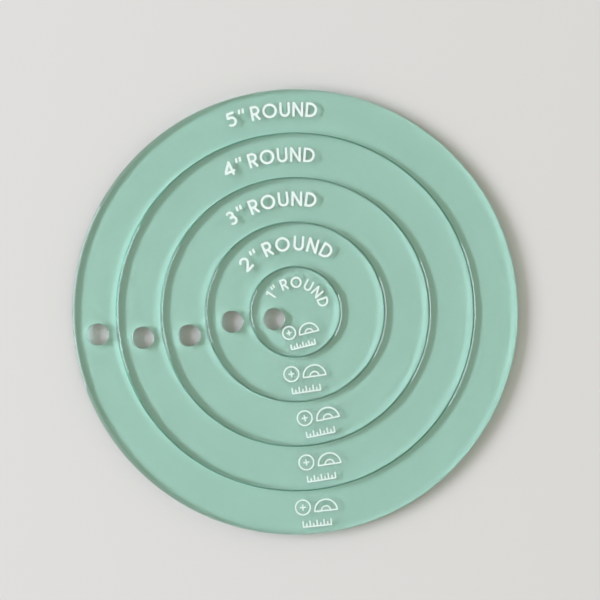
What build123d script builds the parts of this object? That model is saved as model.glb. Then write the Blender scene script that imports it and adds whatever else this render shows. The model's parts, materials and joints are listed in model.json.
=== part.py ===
from build123d import *
import math
import os

# Nested set of flat circle templates: four rings and a centre disc, laser cut from one
# sheet of clear tinted acrylic. Millimetres, +Z up, origin at the centre of the nest on
# its underside. The widest ring sits square to the axes, with its hanging hole towards -X
# and its size legend towards +Y. The others are turned a little in the nest.

INCH = 25.4
SHEET_THICKNESS = 3.0
CUT_GAP = 0.3           # clear gap that the cutting beam leaves between two pieces
HOLE_DIAMETER = 6.35    # hanging hole, the same in every piece
ENGRAVING_DEPTH = 0.25

CAP_HEIGHT = 4.2        # legend lettering on the rings
DISC_CAP_HEIGHT = 3.2   # legend lettering on the centre disc
LETTER_STROKE = 0.168   # stroke width of a letter, as a share of its height
LETTER_GAP = 0.13       # gap between two letters, as a share of their height
DISC_LETTER_GAP = 0.07
SPACE_WIDTH = 0.06
MARK_STROKE = 0.44      # stroke width of the small drafting mark

# Each ring: diameter in inches, turn in the nest in degrees (counter-clockwise seen from
# above), and the radii of the hole's centre, the legend's baseline and the mark's centre.
RINGS = {
    "ring_5in": (5, 0.0, 56.75, 55.7, 57.2),
    "ring_4in": (4, 3.1, 44.15, 42.8, 44.4),
    "ring_3in": (3, 6.0, 31.0, 30.2, 31.7),
    "ring_2in": (2, 2.3, 18.25, 17.5, 18.9),
}
RING_HOLE_ANGLE = 180.0
RING_LEGEND_ANGLE = 90.3
RING_MARK_ANGLE = 269.5

# The centre disc: radius and angle of the hole's centre, of the legend's baseline at the
# middle of the legend, and of the mark's centre.
DISC_NAME = "disc_1in"
DISC_INCHES = 1
DISC_HOLE = (6.45, 192.1)
DISC_LEGEND = (6.85, 73.6)
DISC_MARK = (6.7, 277.5)
DISC_MARK_SCALE = 0.86


def bar(x0, y0, x1, y1):
    """A straight stroke from one point to another."""
    return ("bar", (x0, y0, x1, y1))


def bow(x, y, radius, start, sweep):
    """A round stroke about (x, y), from an angle through a sweep in degrees."""
    return ("bow", (x, y, radius, start, sweep))


def glyph_table():
    """Width and strokes of each character, for a height of 1, standing on y = 0."""
    s = LETTER_STROKE / 2
    top = 1 - s
    return {
        " ": (SPACE_WIDTH, []),
        '"': (0.50, [bar(0.10, 0.68, 0.16, 1.0), bar(0.36, 0.68, 0.42, 1.0)]),
        "1": (0.38, [bar(0.38 - s, 0, 0.38 - s, 1), bar(0.03, 0.79, 0.38 - s, top)]),
        "2": (0.70, [bow(0.345, 0.655, 0.255, 170, -215), bar(0.525, 0.475, 0.10, s),
                     bar(0.02, s, 0.70, s)]),
        "3": (0.64, [bow(0.32, 0.71, 0.20, 150, -240), bow(0.32, 0.325, 0.235, 90, -240),
                     bar(0.20, 0.535, 0.32, 0.535)]),
        "4": (0.78, [bar(0.57, 0, 0.57, 1), bar(0.56, top, 0.08, 0.31),
                     bar(0.02, 0.28, 0.78, 0.28)]),
        "5": (0.72, [bar(0.14, top, 0.66, top), bar(0.20, top, 0.15, 0.54),
                     bow(0.35, 0.36, 0.27, 135, -280)]),
        "R": (0.64, [bar(s, 0, s, 1), bar(s, top, 0.32, top), bar(s, 0.44, 0.32, 0.44),
                     bow(0.32, (top + 0.44) / 2, (top - 0.44) / 2, 90, -180),
                     bar(0.30, 0.44, 0.57, 0.0)]),
        "O": (1.00, [bow(0.5, 0.5, 0.5 - s, 0, 360)]),
        "U": (0.72, [bar(s, 0.36, s, 1), bow(0.36, 0.36, 0.36 - s, 180, 180),
                     bar(0.72 - s, 0.36, 0.72 - s, 1)]),
        "N": (0.74, [bar(s, 0, s, 1), bar(s, 0.95, 0.74 - s, 0.05),
                     bar(0.74 - s, 0, 0.74 - s, 1)]),
        "D": (0.78, [bar(s, 0, s, 1), bar(s, top, 0.28, top), bar(s, s, 0.28, s),
                     bow(0.28, 0.5, 0.5 - s, -90, 180)]),
    }


def mark_strokes():
    """Small drafting mark: a circle with its centre, a protractor and a scale of ticks."""
    strokes = [
        bow(-3.6, 1.5, 2.1, 0, 360),
        bar(-4.5, 1.5, -2.7, 1.5),
        bar(-3.6, 0.6, -3.6, 2.4),
        bow(2.9, 0.0, 3.2, 0, 180),
        bow(2.9, 0.0, 1.3, 0, 180),
        bar(-0.5, 0.0, 6.3, 0.0),
        bar(-4.2, -4.1, 4.2, -4.1),
    ]
    for tick in range(-4, 5):
        height = 1.7 if tick % 2 == 0 else 1.0
        strokes.append(bar(tick, -4.1, tick, -4.1 + height))
    return strokes


def stroke_face(stroke, width):
    """Flat outline of one stroke, with square ends."""
    shape, numbers = stroke
    if shape == "bar":
        x0, y0, x1, y1 = numbers
        tilt = math.degrees(math.atan2(y1 - y0, x1 - x0))
        middle = Pos((x0 + x1) / 2, (y0 + y1) / 2) * Rot(0, 0, tilt)
        return middle * Rectangle(math.hypot(x1 - x0, y1 - y0), width)
    x, y, radius, start, sweep = numbers
    if abs(sweep) >= 360:
        return Pos(x, y) * (Circle(radius + width / 2) - Circle(radius - width / 2))
    outer = CenterArc((x, y), radius + width / 2, start, sweep)
    inner = CenterArc((x, y), radius - width / 2, start, sweep)
    return make_face([outer, inner, Line(outer @ 0, inner @ 0), Line(outer @ 1, inner @ 1)])


def scaled(stroke, size):
    """The stroke with every length multiplied by the size, and its angles kept."""
    shape, numbers = stroke
    lengths = 4 if shape == "bar" else 3
    return (shape, tuple(n * size for n in numbers[:lengths]) + tuple(numbers[lengths:]))


def legend_faces(text, radius, middle_angle, height, gap):
    """The text set along the outside of a circle, its middle at the given angle."""
    glyphs = glyph_table()
    widths = [glyphs[character][0] * height for character in text]
    total = sum(widths) + gap * height * (len(text) - 1)
    along = -total / 2
    faces = []
    for character, width in zip(text, widths):
        angle = middle_angle - math.degrees((along + width / 2) / radius)
        turn = math.radians(angle)
        place = Pos(radius * math.cos(turn), radius * math.sin(turn)) * Rot(0, 0, angle - 90)
        for stroke in glyphs[character][1]:
            face = stroke_face(scaled(stroke, height), LETTER_STROKE * height)
            faces.append(place * Pos(-width / 2, 0) * face)
        along += width + gap * height
    return faces


def mark_faces(radius, angle, size):
    """The drafting mark, its top turned towards the centre of the nest."""
    turn = math.radians(angle)
    place = Pos(radius * math.cos(turn), radius * math.sin(turn)) * Rot(0, 0, angle + 90)
    return [place * stroke_face(scaled(stroke, size), MARK_STROKE) for stroke in mark_strokes()]


def template(inches, inner_radius, hole, engraving, turn):
    """One flat piece: its outline, its inner edge if it is a ring, its hole and engraving."""
    outline = Circle(inches * INCH / 2)
    if inner_radius:
        outline -= Circle(inner_radius)
    hole_radius, hole_angle = hole
    swing = math.radians(hole_angle)
    hole_centre = Pos(hole_radius * math.cos(swing), hole_radius * math.sin(swing))
    outline -= hole_centre * Circle(HOLE_DIAMETER / 2)
    blank = extrude(outline, amount=SHEET_THICKNESS)
    pattern = Sketch() + engraving
    pocket = extrude(Pos(0, 0, SHEET_THICKNESS - ENGRAVING_DEPTH) * pattern,
                     amount=2 * ENGRAVING_DEPTH)
    return Rot(0, 0, turn) * (blank - pocket)


def build_pieces():
    """All five pieces by name, in place in the nest."""
    pieces = {}
    for name, (inches, turn, hole_radius, baseline, mark_radius) in RINGS.items():
        engraving = legend_faces(f'{inches}" ROUND', baseline, RING_LEGEND_ANGLE,
                                 CAP_HEIGHT, LETTER_GAP)
        engraving += mark_faces(mark_radius, RING_MARK_ANGLE, 1.0)
        inner_radius = (inches - 1) * INCH / 2 + CUT_GAP
        pieces[name] = template(inches, inner_radius, (hole_radius, RING_HOLE_ANGLE),
                                engraving, turn)
    engraving = legend_faces(f'{DISC_INCHES}" ROUND', *DISC_LEGEND, DISC_CAP_HEIGHT,
                             DISC_LETTER_GAP)
    engraving += mark_faces(*DISC_MARK, DISC_MARK_SCALE)
    pieces[DISC_NAME] = template(DISC_INCHES, 0, DISC_HOLE, engraving, 0.0)
    return pieces


os.makedirs("parts", exist_ok=True)
for node, solid in build_pieces().items():
    export_step(solid, f"parts/{node}.step")
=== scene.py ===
import json
import math

import bmesh
import bpy
from mathutils.geometry import delaunay_2d_cdt
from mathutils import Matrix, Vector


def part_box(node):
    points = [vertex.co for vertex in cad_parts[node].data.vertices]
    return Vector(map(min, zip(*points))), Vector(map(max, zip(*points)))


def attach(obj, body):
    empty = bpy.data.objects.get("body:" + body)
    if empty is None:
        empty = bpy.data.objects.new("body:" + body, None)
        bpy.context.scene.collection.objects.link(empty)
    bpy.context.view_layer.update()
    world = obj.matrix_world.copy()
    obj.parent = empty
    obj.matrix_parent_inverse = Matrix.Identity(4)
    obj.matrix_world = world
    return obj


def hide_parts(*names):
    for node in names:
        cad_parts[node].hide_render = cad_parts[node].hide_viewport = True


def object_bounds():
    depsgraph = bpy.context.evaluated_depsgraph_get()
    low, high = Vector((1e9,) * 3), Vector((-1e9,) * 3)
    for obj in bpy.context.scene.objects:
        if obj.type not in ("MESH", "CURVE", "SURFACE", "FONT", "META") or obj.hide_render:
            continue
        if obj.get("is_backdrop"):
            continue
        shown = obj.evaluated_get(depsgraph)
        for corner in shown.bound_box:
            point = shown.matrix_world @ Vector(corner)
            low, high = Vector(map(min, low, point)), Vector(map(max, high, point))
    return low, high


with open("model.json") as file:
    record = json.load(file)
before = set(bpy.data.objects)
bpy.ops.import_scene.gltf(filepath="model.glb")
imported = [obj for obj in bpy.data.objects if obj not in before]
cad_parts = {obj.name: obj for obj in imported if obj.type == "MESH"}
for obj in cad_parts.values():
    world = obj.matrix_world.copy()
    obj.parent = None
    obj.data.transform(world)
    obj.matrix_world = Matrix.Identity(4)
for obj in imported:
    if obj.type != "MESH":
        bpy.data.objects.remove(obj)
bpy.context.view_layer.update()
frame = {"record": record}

# Nested circle templates of clear green acrylic on a plain pale floor: four rings and a
# centre disc. Lengths in the drawing of a piece are millimetres, and become metres when
# its mesh is made. Angles are degrees, counter-clockwise as seen from above.

MM = 0.001
CUT_GAP = 0.3               # clear gap between two pieces
ENGRAVING_DEPTH = 0.25

# Melted lip along both rims of a cut, from the flat face to the wall: inset and depth.
LIP = [(0.40, 0.0), (0.09, 0.175), (0.0, 0.32)]
WHOLE_LIP = 1.0
HOLE_LIP = 0.3              # size of a hanging hole's lip, as a share of that
OUTER, INNER = 1, -1        # kinds of round edge

FROST_FLOOR_GAP = 0.02      # the frosted infill stays clear of its pocket's floor
FROST_INSET = 0.01          # and of its walls
FROST_THICKNESS = 0.19

RIM_STEPS = 288             # straight sides of a large round edge
HOLE_STEPS = 72             # straight sides of a hanging hole
BOW_STEP = 9.0              # angle of each straight side of a round stroke
BOW_LEAST_STEPS = 4
SHARP_ANGLE = 20.0          # faces that meet at more than this keep a crisp edge
PLACES = 4                  # decimals to which corners in one place are matched
MERGE_DISTANCE = 1e-5       # corners nearer than this are one for the triangulation
COVERED = 1                 # asks it only for what its regions cover

CAP_HEIGHT = 4.2            # legend lettering on the rings
DISC_CAP_HEIGHT = 3.2       # legend lettering on the centre disc
LETTER_STROKE = 0.168       # stroke width of a letter, as a share of its height
LETTER_GAP = 0.13           # gap between two letters, as a share of their height
DISC_LETTER_GAP = 0.07
SPACE_WIDTH = 0.06
MARK_STROKE = 0.44          # stroke width of the small drafting mark
END_REACH = 0.05            # how near an end comes to a stroke that it meets, in stroke widths

# Each ring: diameter in inches, radius of the legend's baseline, radius of the mark's centre.
RINGS = {
    "ring_5in": (5, 55.7, 57.2),
    "ring_4in": (4, 42.8, 44.4),
    "ring_3in": (3, 30.2, 31.7),
    "ring_2in": (2, 17.5, 18.9),
}
RING_HOLE_ANGLE = 180.0
RING_LEGEND_ANGLE = 90.3
RING_MARK_ANGLE = 269.5

# The centre disc: radius and angle of the legend's baseline and of the mark's centre.
DISC_NAME = "disc_1in"
DISC_INCHES = 1
DISC_LEGEND = (6.85, 73.6)
DISC_MARK = (6.7, 277.5)
DISC_MARK_SCALE = 0.86


# ---------------------------------------------------------------- strokes of the engraving

def bar(x0, y0, x1, y1):
    """A straight stroke from one point to another."""
    return ("bar", (x0, y0, x1, y1))


def bow(x, y, radius, start, sweep):
    """A round stroke about (x, y), from an angle through a sweep in degrees."""
    return ("bow", (x, y, radius, start, sweep))


def glyph_table():
    """Width and strokes of each character, for a height of 1, standing on y = 0."""
    s = LETTER_STROKE / 2
    top = 1 - s
    return {
        " ": (SPACE_WIDTH, []),
        '"': (0.50, [bar(0.10, 0.68, 0.16, 1.0), bar(0.36, 0.68, 0.42, 1.0)]),
        "1": (0.38, [bar(0.38 - s, 0, 0.38 - s, 1), bar(0.03, 0.79, 0.38 - s, top)]),
        "2": (0.70, [bow(0.345, 0.655, 0.255, 170, -215), bar(0.525, 0.475, 0.10, s),
                     bar(0.02, s, 0.70, s)]),
        "3": (0.64, [bow(0.32, 0.71, 0.20, 150, -240), bow(0.32, 0.325, 0.235, 90, -240),
                     bar(0.20, 0.535, 0.32, 0.535)]),
        "4": (0.78, [bar(0.57, 0, 0.57, 1), bar(0.56, top, 0.08, 0.31),
                     bar(0.02, 0.28, 0.78, 0.28)]),
        "5": (0.72, [bar(0.14, top, 0.66, top), bar(0.20, top, 0.15, 0.54),
                     bow(0.35, 0.36, 0.27, 135, -280)]),
        "R": (0.64, [bar(s, 0, s, 1), bar(s, top, 0.32, top), bar(s, 0.44, 0.32, 0.44),
                     bow(0.32, (top + 0.44) / 2, (top - 0.44) / 2, 90, -180),
                     bar(0.30, 0.44, 0.57, 0.0)]),
        "O": (1.00, [bow(0.5, 0.5, 0.5 - s, 0, 360)]),
        "U": (0.72, [bar(s, 0.36, s, 1), bow(0.36, 0.36, 0.36 - s, 180, 180),
                     bar(0.72 - s, 0.36, 0.72 - s, 1)]),
        "N": (0.74, [bar(s, 0, s, 1), bar(s, 0.95, 0.74 - s, 0.05),
                     bar(0.74 - s, 0, 0.74 - s, 1)]),
        "D": (0.78, [bar(s, 0, s, 1), bar(s, top, 0.28, top), bar(s, s, 0.28, s),
                     bow(0.28, 0.5, 0.5 - s, -90, 180)]),
    }


def mark_strokes():
    """Small drafting mark: a circle with its centre, a protractor and a scale of ticks."""
    strokes = [
        bow(-3.6, 1.5, 2.1, 0, 360),
        bar(-4.5, 1.5, -2.7, 1.5),
        bar(-3.6, 0.6, -3.6, 2.4),
        bow(2.9, 0.0, 3.2, 0, 180),
        bow(2.9, 0.0, 1.3, 0, 180),
        bar(-0.5, 0.0, 6.3, 0.0),
        bar(-4.2, -4.1, 4.2, -4.1),
    ]
    for tick in range(-4, 5):
        height = 1.7 if tick % 2 == 0 else 1.0
        strokes.append(bar(tick, -4.1, tick, -4.1 + height))
    return strokes


def polar(radius, degrees, centre=(0.0, 0.0)):
    """Point at a radius and an angle from a centre."""
    turn = math.radians(degrees)
    return (centre[0] + radius * math.cos(turn), centre[1] + radius * math.sin(turn))


def stroke_ends(stroke):
    """Both ends of a stroke's centre line, each with the direction that it points in."""
    shape, numbers = stroke
    if shape == "bar":
        x0, y0, x1, y1 = numbers
        along = math.degrees(math.atan2(y1 - y0, x1 - x0))
        return [((x0, y0), along + 180), ((x1, y1), along)]
    x, y, radius, start, sweep = numbers
    ahead = math.copysign(90, sweep)
    return [(polar(radius, start, (x, y)), start - ahead),
            (polar(radius, start + sweep, (x, y)), start + sweep + ahead)]


def covers(stroke, width, point):
    """Whether a point lies within a stroke."""
    shape, numbers = stroke
    if shape == "bar":
        x0, y0, x1, y1 = numbers
        length = math.hypot(x1 - x0, y1 - y0)
        angle = math.degrees(math.atan2(y1 - y0, x1 - x0))
        along, across = placed([(point[0] - x0, point[1] - y0)], (0.0, 0.0), -angle)[0]
        return 0 <= along <= length and abs(across) <= width / 2
    x, y, radius, start, sweep = numbers
    angle = math.degrees(math.atan2(point[1] - y, point[0] - x))
    from_start = (angle - min(start, start + sweep)) % 360
    off_line = abs(math.hypot(point[0] - x, point[1] - y) - radius)
    return from_start <= abs(sweep) and off_line <= width / 2


def meetings(strokes, width):
    """For each stroke, whether its first end and its last end meet another stroke."""
    return [[any(covers(other, width, polar(width * END_REACH, direction, end))
                 for other in strokes if other is not stroke)
             for end, direction in stroke_ends(stroke)]
            for stroke in strokes]


def stroke_outlines(stroke, size, width, inset, meets):
    """Counter-clockwise polygons that cover one stroke, scaled, and drawn in by the inset.

    An end that meets another stroke is drawn out instead, so that the two overlap.
    """
    shape, numbers = stroke
    half = width / 2 - inset
    first, last = (-inset if met else inset for met in meets)
    if shape == "bar":
        x0, y0, x1, y1 = (n * size for n in numbers)
        length = math.hypot(x1 - x0, y1 - y0)
        angle = math.degrees(math.atan2(y1 - y0, x1 - x0))
        corners = [(first, -half), (length - last, -half), (length - last, half),
                   (first, half)]
        return [placed(corners, (x0, y0), angle)]
    x, y, radius = (n * size for n in numbers[:3])
    start, sweep = numbers[3:]
    if sweep < 0:
        start, sweep = start + sweep, -sweep
        first, last = last, first
    if sweep < 360:
        start += math.degrees(first / radius)
        sweep -= math.degrees((first + last) / radius)
    parts = 2 if sweep >= 360 else 1
    steps = max(BOW_LEAST_STEPS, round(sweep / parts / BOW_STEP))
    outlines = []
    for part in range(parts):
        begin = start + sweep * part / parts
        angles = [begin + sweep / parts * i / steps for i in range(steps + 1)]
        outer = [polar(radius + half, a, (x, y)) for a in angles]
        inner = [polar(radius - half, a, (x, y)) for a in reversed(angles)]
        outlines.append(outer + inner)
    return outlines


def placed(points, origin, degrees):
    """Points turned by an angle and moved to an origin."""
    c, s = math.cos(math.radians(degrees)), math.sin(math.radians(degrees))
    return [(origin[0] + x * c - y * s, origin[1] + x * s + y * c) for x, y in points]


def legend_outlines(text, radius, middle_angle, height, gap, inset):
    """The text set along the outside of a circle, its middle at the given angle."""
    glyphs = glyph_table()
    widths = [glyphs[character][0] * height for character in text]
    along = -(sum(widths) + gap * height * (len(text) - 1)) / 2
    outlines = []
    for character, width in zip(text, widths):
        angle = middle_angle - math.degrees((along + width / 2) / radius)
        strokes = glyphs[character][1]
        for stroke, meets in zip(strokes, meetings(strokes, LETTER_STROKE)):
            for points in stroke_outlines(stroke, height, LETTER_STROKE * height, inset,
                                          meets):
                centred = [(x - width / 2, y) for x, y in points]
                outlines.append(placed(centred, polar(radius, angle), angle - 90))
        along += width + gap * height
    return outlines


def mark_outlines(radius, angle, size, inset):
    """The drafting mark, its top turned towards the centre of the nest."""
    strokes = mark_strokes()
    return [placed(points, polar(radius, angle), angle + 90)
            for stroke, meets in zip(strokes, meetings(strokes, MARK_STROKE / size))
            for points in stroke_outlines(stroke, size, MARK_STROKE, inset, meets)]


# ---------------------------------------------------------------- meshes

def round_edge(radius, steps, centre):
    """Points round a round edge, counter-clockwise."""
    return [polar(radius, 360 * (i + 0.5) / steps, centre) for i in range(steps)]


def triangulate(regions):
    """Triangles that cover the regions, each with the set of regions that it lies in."""
    points = []
    faces = []
    for region in regions:
        faces.append(list(range(len(points), len(points) + len(region))))
        points += region
    corners, _, triangles, _, _, regions_of = delaunay_2d_cdt(points, [], faces, COVERED,
                                                              MERGE_DISTANCE, True)
    return [([tuple(corners[i]) for i in triangle], set(within))
            for triangle, within in zip(triangles, regions_of) if within]


class Shell:
    """A mesh under construction, whose corners are shared by position."""

    def __init__(self):
        self.mesh = bmesh.new()
        self.corners = {}

    def corner(self, point, height):
        """The corner in a place, new or shared."""
        key = tuple(round(n, PLACES) for n in (*point, height))
        if key not in self.corners:
            self.corners[key] = self.mesh.verts.new([n * MM for n in key])
        return self.corners[key]

    def face(self, spots):
        """A face through points with their heights, counter-clockwise from the outside."""
        corners = []
        for point, height in spots:
            corner = self.corner(point, height)
            if corner not in corners:
                corners.append(corner)
        if len(corners) > 2:
            self.mesh.faces.new(corners)

    def sides(self, rows):
        """Bands between closed rows of points, each row with its height.

        They face the inside of rows that run downwards, and the outside of rows that run up.
        """
        for (near, near_height), (far, far_height) in zip(rows, rows[1:]):
            count = len(near)
            for i in range(count):
                j = (i + 1) % count
                self.face([(near[i], near_height), (near[j], near_height),
                           (far[j], far_height), (far[i], far_height)])

    def finish(self, name, material, body):
        """The finished object, riding on its body."""
        data = bpy.data.meshes.new(name)
        self.mesh.to_mesh(data)
        self.mesh.free()
        data.polygons.foreach_set("use_smooth", [True] * len(data.polygons))
        data.set_sharp_from_angle(angle=math.radians(SHARP_ANGLE))
        data.materials.append(material)
        piece = bpy.data.objects.new(name, data)
        bpy.context.scene.collection.objects.link(piece)
        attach(piece, body)
        return piece


def engraved_edges(triangles, engraved):
    """Edges round the engraving, which lies on the left of each."""
    edges = {}      # used as a set that keeps its order
    for points, inside in triangles:
        if not engraved(inside):
            continue
        points = [tuple(round(n, PLACES) for n in point) for point in points]
        for a, b in zip(points, points[1:] + points[:1]):
            if (b, a) in edges:
                del edges[b, a]
            else:
                edges[a, b] = True
    return list(edges)


def build_body(name, body, edges, outlines, thickness, material):
    """The clear piece: flat faces, round edges with their lips, and engraved pockets.

    Each edge has a radius, steps, a centre, a kind and a share of the lip. The outer edge
    comes first.
    """
    shell = Shell()
    floor = thickness - ENGRAVING_DEPTH
    caps = [round_edge(radius - kind * share * LIP[0][0], steps, centre)
            for radius, steps, centre, kind, share in edges]

    def solid(inside):
        """Within the outer edge and within no inner one."""
        return 0 in inside and not inside & set(range(1, len(caps)))

    def engraved(inside):
        """Solid, and within a stroke as well."""
        return solid(inside) and max(inside) >= len(caps)

    top = triangulate(caps + outlines)
    for points, inside in top:
        if solid(inside):
            height = floor if engraved(inside) else thickness
            shell.face([(point, height) for point in points])
    for a, b in engraved_edges(top, engraved):
        shell.face([(a, thickness), (b, thickness), (b, floor), (a, floor)])
    for points, inside in triangulate(caps):
        if solid(inside):
            shell.face([(point, 0.0) for point in reversed(points)])
    for radius, steps, centre, kind, share in edges:
        lower = [(round_edge(radius - kind * share * inset, steps, centre), share * depth)
                 for inset, depth in LIP]
        upper = [(row, thickness - height) for row, height in lower]
        downwards = upper + lower[::-1]
        shell.sides(downwards if kind == INNER else downwards[::-1])
    return shell.finish(name, material, body)


def build_frost(name, body, outlines, thickness, material):
    """The frosted white infill of the engraved pockets, a thin closed sheet."""
    shell = Shell()
    low = thickness - ENGRAVING_DEPTH + FROST_FLOOR_GAP
    high = low + FROST_THICKNESS
    sheet = triangulate(outlines)
    for points, inside in sheet:
        shell.face([(point, high) for point in points])
        shell.face([(point, low) for point in reversed(points)])
    for a, b in engraved_edges(sheet, lambda inside: True):
        shell.face([(a, low), (b, low), (b, high), (a, high)])
    return shell.finish(name, material, body)


# ---------------------------------------------------------------- materials

# Scales of noise are per metre, and a stretch draws it out along x, y and z. Each FROM is
# the value of its noise above which the pattern shows.
ACRYLIC_IOR = 1.49
TINT = (0.112, 0.776, 0.584, 1)         # colour that the sheet lets through
TINT_DENSITY = 125.0                    # how fast it takes away the rest, per metre
CLEAR = (1, 1, 1, 1)
# painted shade: a darker green on the steep part of each lip, for the dark line along the cuts
LIP_PAINTED_SHADE = (0.14, 0.56, 0.42, 1)
WALL_BELOW = 0.2                        # less upright normals than this are on a cut wall
LIP_BELOW = 0.7                         # and those in between on the steep part of a lip

SMUDGE_SCALE = 45.0
SMUDGE_FROM = 0.48
SMUDGE_ROUGHNESS = 0.2
SCRATCH_TURNS = (17.0, 76.0, 141.0)
SCRATCH_SCALE = 4200.0
SCRATCH_STRETCH = (70, 1, 1)
SCRATCH_FROM = 0.84
SCRATCH_ROUGHNESS = 0.22
PATCH_SCALE = 33.0
PATCH_FROM = 0.53

STREAK_SCALE = 1900.0                   # upright striations of the cut walls
STREAK_STRETCH = (1, 1, 30)
STREAK_ROUGHNESS = 0.18
STREAK_STRENGTH = 0.6
STREAK_DEPTH = 0.06 * MM
WALL_ROUGHNESS = 0.07

FROST_DARK = (0.84, 0.93, 0.90, 1)
FROST_LIGHT = (0.97, 1.0, 0.98, 1)
FROST_ROUGHNESS = 0.6
PASS_SCALE = 5200.0                     # lines that the engraving laser's passes leave
PASS_STRETCH = (16, 1, 1)
PASS_SHARE = 0.7                        # their share of the tone, beside the grain
PASS_STRENGTH = 0.5
PASS_DEPTH = 0.02 * MM
GRAIN_SCALE = 9000.0

FLOOR_COLOUR = (0.72, 0.71, 0.69, 1)
FLOOR_ROUGHNESS = 0.9


def new_material(name):
    """An empty node material and its node tree."""
    material = bpy.data.materials.new(name)
    material.use_nodes = True
    material.node_tree.nodes.clear()
    return material, material.node_tree


def add(tree, kind, **inputs):
    """A node with some of its inputs set by name."""
    node = tree.nodes.new(kind)
    for key, value in inputs.items():
        node.inputs[key.replace("_", " ")].default_value = value
    return node


def feed(tree, socket, value):
    """Gives an input its value: the output of another node, or a constant."""
    if isinstance(value, bpy.types.NodeSocket):
        tree.links.new(value, socket)
    else:
        socket.default_value = value


def maths(tree, operation, first, second):
    """Output of a Math node on two sockets or numbers."""
    node = tree.nodes.new("ShaderNodeMath")
    node.operation = operation
    feed(tree, node.inputs[0], first)
    feed(tree, node.inputs[1], second)
    return node.outputs[0]


def mix(tree, kind, factor, first, second):
    """Output of a Mix node that goes from one value to another of the same kind."""
    node = tree.nodes.new("ShaderNodeMix")
    node.data_type = kind
    feed(tree, node.inputs["Factor"], factor)
    feed(tree, node.inputs["A"], first)
    feed(tree, node.inputs["B"], second)
    return node.outputs["Result"]


def noise(tree, coordinates, scale, stretch=(1, 1, 1), turn=0.0, detail=2.0):
    """Noise over turned and stretched coordinates, about 0.5 on average."""
    mapping = tree.nodes.new("ShaderNodeMapping")
    mapping.vector_type = "TEXTURE"
    mapping.inputs["Rotation"].default_value = (0, 0, math.radians(turn))
    mapping.inputs["Scale"].default_value = stretch
    tree.links.new(coordinates, mapping.inputs["Vector"])
    texture = add(tree, "ShaderNodeTexNoise", Scale=scale, Detail=detail)
    tree.links.new(mapping.outputs[0], texture.inputs["Vector"])
    return texture.outputs["Fac"]


def handling_wear(tree, place):
    """Roughness of the polished faces: faint smudges, and fine scratches in patches."""
    above = maths(tree, "SUBTRACT", noise(tree, place, SMUDGE_SCALE), SMUDGE_FROM)
    smudges = maths(tree, "MAXIMUM", above, 0.0)
    scratches = 0.0
    for turn in SCRATCH_TURNS:
        lines = noise(tree, place, SCRATCH_SCALE, SCRATCH_STRETCH, turn, 0.0)
        patches = noise(tree, place, PATCH_SCALE, turn=turn)
        some = maths(tree, "MULTIPLY", maths(tree, "GREATER_THAN", lines, SCRATCH_FROM),
                     maths(tree, "GREATER_THAN", patches, PATCH_FROM))
        scratches = maths(tree, "ADD", scratches, some)
    return maths(tree, "ADD", maths(tree, "MULTIPLY", smudges, SMUDGE_ROUGHNESS),
                 maths(tree, "MULTIPLY", scratches, SCRATCH_ROUGHNESS))


def acrylic_material():
    """Clear green acrylic: polished faces, striated cut walls, and painted shade, a deeper
    green, on the steep part of the lips.
    """
    material, tree = new_material("tinted_acrylic_clear")
    link = tree.links.new
    output = tree.nodes.new("ShaderNodeOutputMaterial")
    shader = add(tree, "ShaderNodeBsdfPrincipled", IOR=ACRYLIC_IOR, Transmission_Weight=1.0)
    absorb = add(tree, "ShaderNodeVolumeAbsorption", Density=TINT_DENSITY, Color=TINT)

    where = tree.nodes.new("ShaderNodeTexCoord")
    shift = tree.nodes.new("ShaderNodeVectorMath")      # gives each piece wear of its own
    link(where.outputs["Object"], shift.inputs[0])
    link(tree.nodes.new("ShaderNodeObjectInfo").outputs["Random"], shift.inputs[1])
    place = shift.outputs[0]

    split = tree.nodes.new("ShaderNodeSeparateXYZ")
    link(where.outputs["Normal"], split.inputs[0])
    upright = maths(tree, "ABSOLUTE", split.outputs["Z"], 0.0)
    wall = maths(tree, "LESS_THAN", upright, WALL_BELOW)
    steep_lip_shade_mask = maths(tree, "SUBTRACT", maths(tree, "LESS_THAN", upright, LIP_BELOW), wall)
    # painted shade: the steep part of each lip is coloured a darker green, for the dark line
    # along the cuts
    link(mix(tree, "RGBA", steep_lip_shade_mask, CLEAR, LIP_PAINTED_SHADE), shader.inputs["Base Color"])

    streaks = noise(tree, place, STREAK_SCALE, STREAK_STRETCH)
    cut = maths(tree, "ADD", maths(tree, "MULTIPLY", streaks, STREAK_ROUGHNESS), WALL_ROUGHNESS)
    link(mix(tree, "FLOAT", wall, handling_wear(tree, place), cut), shader.inputs["Roughness"])
    bump = add(tree, "ShaderNodeBump", Strength=STREAK_STRENGTH, Distance=STREAK_DEPTH)
    link(maths(tree, "MULTIPLY", streaks, wall), bump.inputs["Height"])
    link(bump.outputs[0], shader.inputs["Normal"])
    link(shader.outputs[0], output.inputs["Surface"])
    link(absorb.outputs[0], output.inputs["Volume"])
    return material


def frost_material():
    """Laser-frosted engraving: white and matt, in the fine lines of the laser's passes."""
    material, tree = new_material("tinted_acrylic_frosted")
    link = tree.links.new
    output = tree.nodes.new("ShaderNodeOutputMaterial")
    shader = add(tree, "ShaderNodeBsdfPrincipled", Roughness=FROST_ROUGHNESS, IOR=ACRYLIC_IOR)
    where = tree.nodes.new("ShaderNodeTexCoord")
    passes = noise(tree, where.outputs["Object"], PASS_SCALE, PASS_STRETCH)
    grain = noise(tree, where.outputs["Object"], GRAIN_SCALE)
    tone = maths(tree, "ADD", maths(tree, "MULTIPLY", passes, PASS_SHARE),
                 maths(tree, "MULTIPLY", grain, 1 - PASS_SHARE))
    link(mix(tree, "RGBA", tone, FROST_DARK, FROST_LIGHT), shader.inputs["Base Color"])
    bump = add(tree, "ShaderNodeBump", Strength=PASS_STRENGTH, Distance=PASS_DEPTH)
    link(passes, bump.inputs["Height"])
    link(bump.outputs[0], shader.inputs["Normal"])
    link(shader.outputs[0], output.inputs["Surface"])
    return material


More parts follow.
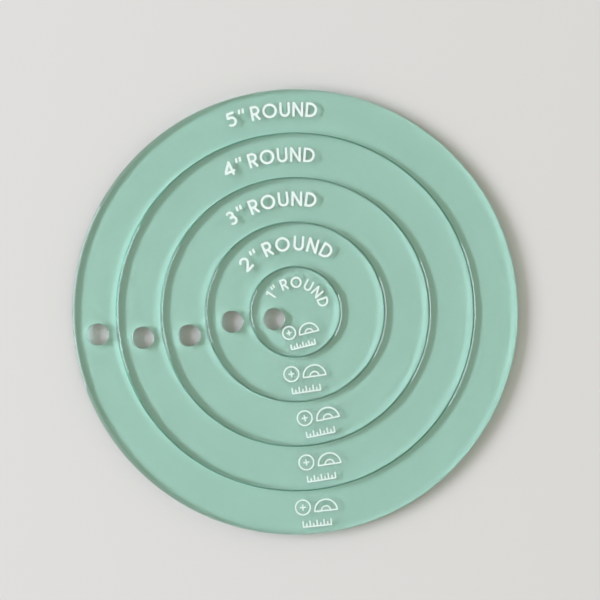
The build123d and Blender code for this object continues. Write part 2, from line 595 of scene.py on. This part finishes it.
def floor_material():
    """Plain pale matt floor."""
    material, tree = new_material("floor_pale")
    output = tree.nodes.new("ShaderNodeOutputMaterial")
    shader = add(tree, "ShaderNodeBsdfPrincipled", Roughness=FLOOR_ROUGHNESS)
    shader.inputs["Base Color"].default_value = FLOOR_COLOUR
    tree.links.new(shader.outputs[0], output.inputs["Surface"])
    return material


# ---------------------------------------------------------------- the object

acrylic = acrylic_material()
frost = frost_material()
holes = {mount["name"]: mount for mount in frame["record"]["mounts"]}


def hole_of(inches):
    """Centre and radius of a piece's hanging hole, in millimetres, and its angle."""
    mount = holes[f"hanging_hole_{inches}in"]
    centre = (mount["pos_m"][0] / MM, mount["pos_m"][1] / MM)
    return centre, mount["dims"]["r_mm"], math.degrees(math.atan2(centre[1], centre[0])) % 360


def outer_radius(inches):
    """Radius of a piece's outer edge, from its CAD box, in millimetres."""
    node = DISC_NAME if inches == DISC_INCHES else f"ring_{inches}in"
    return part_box(node)[1].x / MM


def make_piece(name, inches, outlines_with):
    """One piece: the clear body in place of its CAD node, and its frosted engraving."""
    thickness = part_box(name)[1].z / MM
    middle = (0.0, 0.0)
    edges = [(outer_radius(inches), RIM_STEPS, middle, OUTER, WHOLE_LIP)]
    if inches > DISC_INCHES:
        inner_radius = outer_radius(inches - 1) + CUT_GAP
        edges.append((inner_radius, RIM_STEPS, middle, INNER, WHOLE_LIP))
    hole_centre, hole_radius, _ = hole_of(inches)
    edges.append((hole_radius, HOLE_STEPS, hole_centre, INNER, HOLE_LIP))
    clear = build_body(name + "_acrylic", name, edges, outlines_with(0.0), thickness, acrylic)
    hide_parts(name)
    build_frost(name + "_engraving", name, outlines_with(FROST_INSET), thickness, frost)


def ring_outlines(inches, baseline, mark_radius, inset):
    """Engraving of a ring, turned with its hanging hole."""
    turn = hole_of(inches)[2] - RING_HOLE_ANGLE
    legend = legend_outlines(f'{inches}" ROUND', baseline, RING_LEGEND_ANGLE + turn,
                             CAP_HEIGHT, LETTER_GAP, inset)
    return legend + mark_outlines(mark_radius, RING_MARK_ANGLE + turn, 1.0, inset)


def disc_outlines(inset):
    """Engraving of the centre disc."""
    legend = legend_outlines(f'{DISC_INCHES}" ROUND', *DISC_LEGEND, DISC_CAP_HEIGHT,
                             DISC_LETTER_GAP, inset)
    return legend + mark_outlines(*DISC_MARK, DISC_MARK_SCALE, inset)


for ring, (inches, baseline, mark_radius) in RINGS.items():
    make_piece(ring, inches,
               lambda inset: ring_outlines(inches, baseline, mark_radius, inset))
make_piece(DISC_NAME, DISC_INCHES, disc_outlines)


# ---------------------------------------------------------------- floor, light and camera

# Metres, watts and degrees.
FLOOR_DROP = 0.05 * MM      # keeps the floor clear of the pieces' undersides
FLOOR_HALF_WIDTH = 4.0
LIGHT_BEARING = 169.5
LIGHT_ELEVATION = 31.0
LIGHT_DISTANCE = 3.0
LIGHT_SIZE = (2.4, 1.3)
LIGHT_POWER = 98.0
LIGHT_COLOUR = (0.87, 0.885, 1.0)
FILL_COLOUR = (1.0, 0.99, 0.89)
FILL_STRENGTH = 0.56
CAMERA_HEIGHT = 0.65
CAMERA_ROLL = -6.5
VIEW_WIDTH = 0.1711         # what the picture spans at the top of the pieces
VIEW_CENTRE = (1.43 * MM, 3.40 * MM)    # across and up in the picture, from the nest's centre


def make_floor():
    """A plain pale floor far wider than the view."""
    data = bpy.data.meshes.new("floor")
    half = FLOOR_HALF_WIDTH
    corners = [(-half, -half), (half, -half), (half, half), (-half, half)]
    data.from_pydata([(x, y, -FLOOR_DROP) for x, y in corners], [], [(0, 1, 2, 3)])
    data.materials.append(floor_material())
    floor = bpy.data.objects.new("floor", data)
    bpy.context.scene.collection.objects.link(floor)
    floor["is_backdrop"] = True


def make_lights():
    """A large soft window light from the left and an even pale surround."""
    elevation = math.radians(LIGHT_ELEVATION)
    data = bpy.data.lights.new("window", "AREA")
    data.shape = "RECTANGLE"
    data.size, data.size_y = LIGHT_SIZE
    data.energy = LIGHT_POWER
    data.color = LIGHT_COLOUR
    lamp = bpy.data.objects.new("window", data)
    lamp.location = (*polar(LIGHT_DISTANCE * math.cos(elevation), LIGHT_BEARING),
                     LIGHT_DISTANCE * math.sin(elevation))
    lamp.rotation_mode = "QUATERNION"
    lamp.rotation_quaternion = lamp.location.to_track_quat("Z", "Y")
    bpy.context.scene.collection.objects.link(lamp)
    world = bpy.data.worlds.new("surround")
    world.use_nodes = True
    background = world.node_tree.nodes["Background"]
    background.inputs["Color"].default_value = (*FILL_COLOUR, 1)
    background.inputs["Strength"].default_value = FILL_STRENGTH
    bpy.context.scene.world = world


def make_camera():
    """A camera straight above the nest, turned a little about its axis."""
    data = bpy.data.cameras.new("camera")
    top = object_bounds()[1].z
    data.lens = data.sensor_width * (CAMERA_HEIGHT - top) / VIEW_WIDTH
    camera = bpy.data.objects.new("camera", data)
    camera.location = (*placed([VIEW_CENTRE], (0.0, 0.0), CAMERA_ROLL)[0], CAMERA_HEIGHT)
    camera.rotation_euler = (0, 0, math.radians(CAMERA_ROLL))
    bpy.context.scene.collection.objects.link(camera)
    bpy.context.scene.camera = camera


make_floor()
make_lights()
make_camera()
bpy.context.scene.view_settings.view_transform = "Standard"
bpy.context.scene.cycles.blur_glossy = 0.0    # keeps the light folded back by the cut walls
